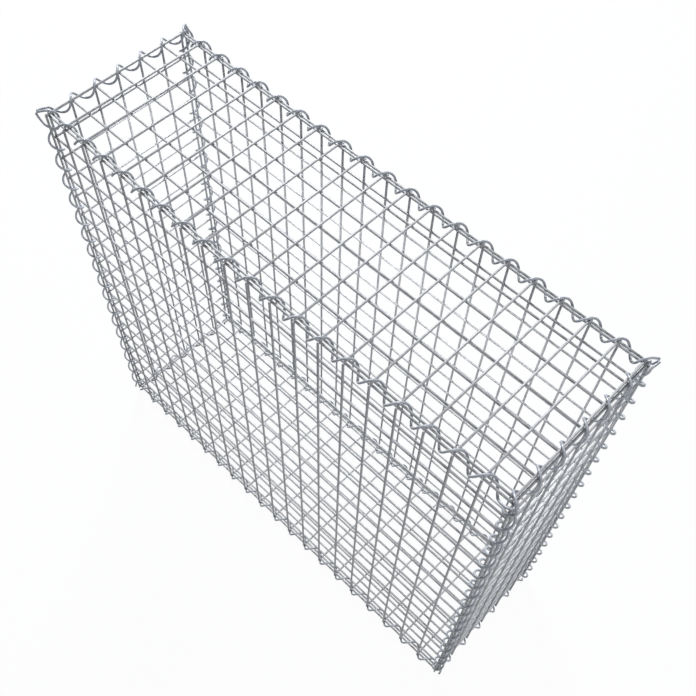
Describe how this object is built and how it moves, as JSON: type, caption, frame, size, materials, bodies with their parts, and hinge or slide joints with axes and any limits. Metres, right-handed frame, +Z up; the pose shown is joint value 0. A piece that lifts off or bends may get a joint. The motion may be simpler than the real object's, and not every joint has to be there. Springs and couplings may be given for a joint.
{
  "type": "gabion basket",
  "caption": "Closed rectangular basket of galvanised welded wire mesh, its panels laced together along every edge by wire spirals, made to hold a stone fill.",
  "frame": {"origin": "middle of the footprint, at the lowest coils of the bottom spirals", "axes": "+X along the basket's length, to the right seen from the front; +Y from the front to the back; +Z up, to the lid"},
  "size_m": [1.0298, 0.33, 0.9257],
  "materials": {
    "mesh_wire": "bright galvanised",
    "spiral_wire": "bright galvanised"
  },
  "bodies": {
    "root": {"front_panel": "mesh_wire", "back_panel": "mesh_wire", "left_end_panel": "mesh_wire", "right_end_panel": "mesh_wire", "base_panel": "mesh_wire", "lid_panel": "mesh_wire", "top_front_spiral": "spiral_wire", "top_back_spiral": "spiral_wire", "top_left_spiral": "spiral_wire", "top_right_spiral": "spiral_wire", "bottom_front_spiral": "spiral_wire", "bottom_back_spiral": "spiral_wire", "bottom_left_spiral": "spiral_wire", "bottom_right_spiral": "spiral_wire", "front_left_spiral": "spiral_wire", "front_right_spiral": "spiral_wire", "back_left_spiral": "spiral_wire", "back_right_spiral": "spiral_wire"}
  },
  "joints": []
}
